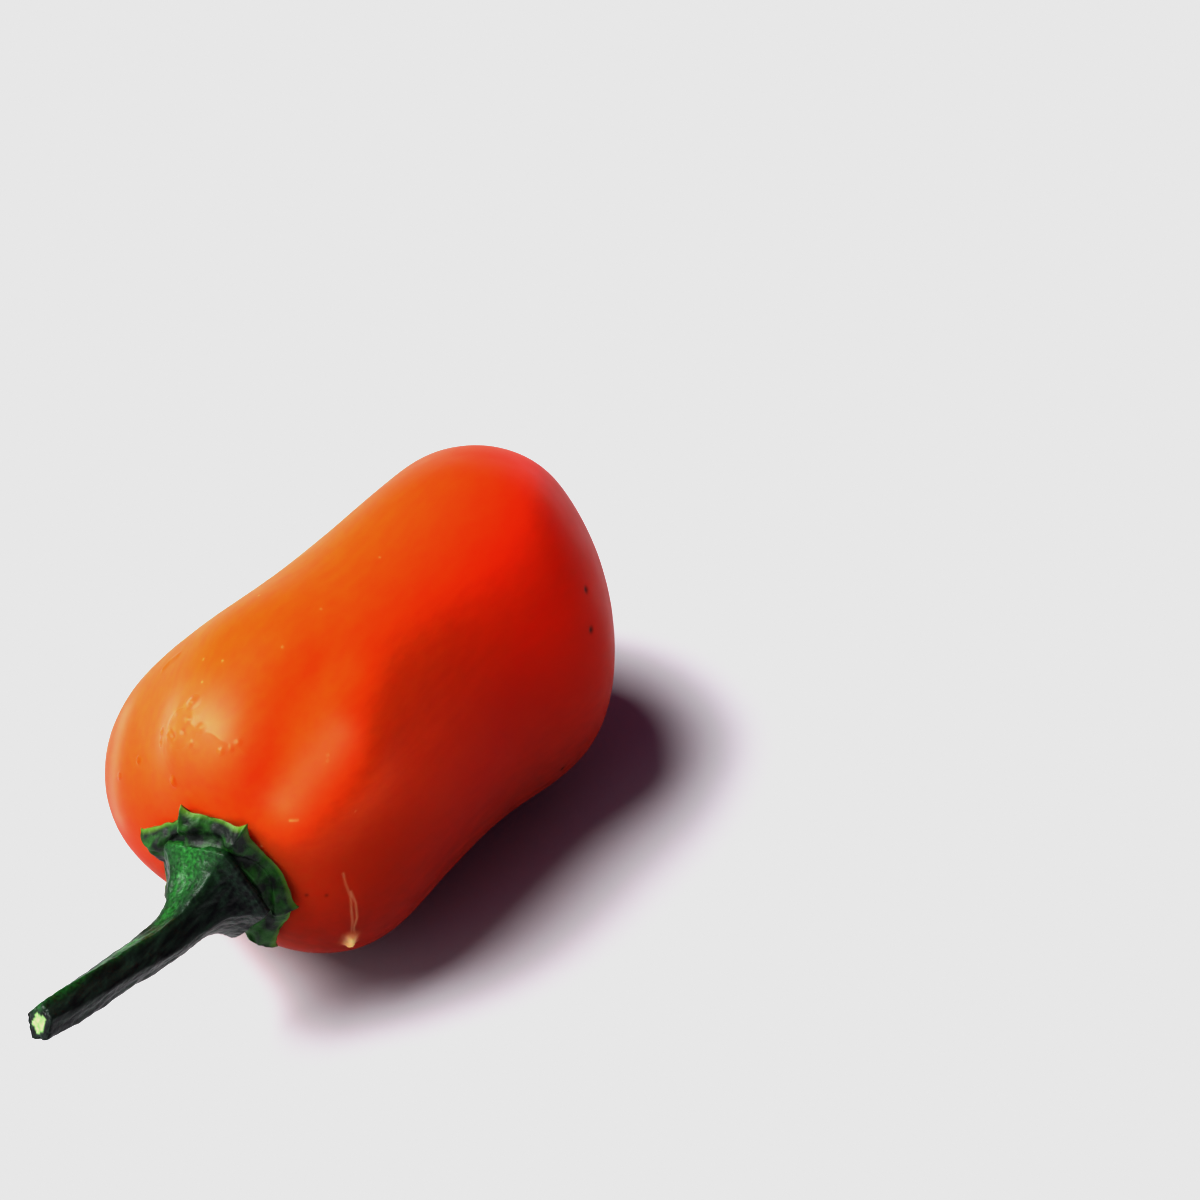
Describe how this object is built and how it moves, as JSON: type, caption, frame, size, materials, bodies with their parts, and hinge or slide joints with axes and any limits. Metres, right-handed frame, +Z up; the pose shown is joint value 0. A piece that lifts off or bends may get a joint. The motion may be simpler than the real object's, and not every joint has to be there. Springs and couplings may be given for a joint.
{
  "type": "chilli pepper",
  "caption": "Ripe orange habanero-type chilli pepper as picked, lying on its side: plump blunt pod with a lobed shoulder, green star calyx and ridged cut stalk.",
  "frame": {"origin": "on the narrow flat that the pod rests on, under the middle of the pod's length", "axes": "+Z up from the surface it rests on, +Y along the pod from the stalk end to the blossom end, +X to the right seen from the stalk"},
  "size_m": [0.0353, 0.0731, 0.0338],
  "materials": {
    "pod_skin": "waxy, smooth and glossy fruit skin, orange to red-orange, with fine pits and a corky scar",
    "calyx_green": "leathery dark green calyx, lighter yellow-green along its edge",
    "stalk_green": "ridged dark green stalk, faintly glossy, with a pale yellow-green cut face"
  },
  "bodies": {
    "root": {"pod": "pod_skin", "calyx": "calyx_green", "stalk": "stalk_green"}
  },
  "joints": []
}
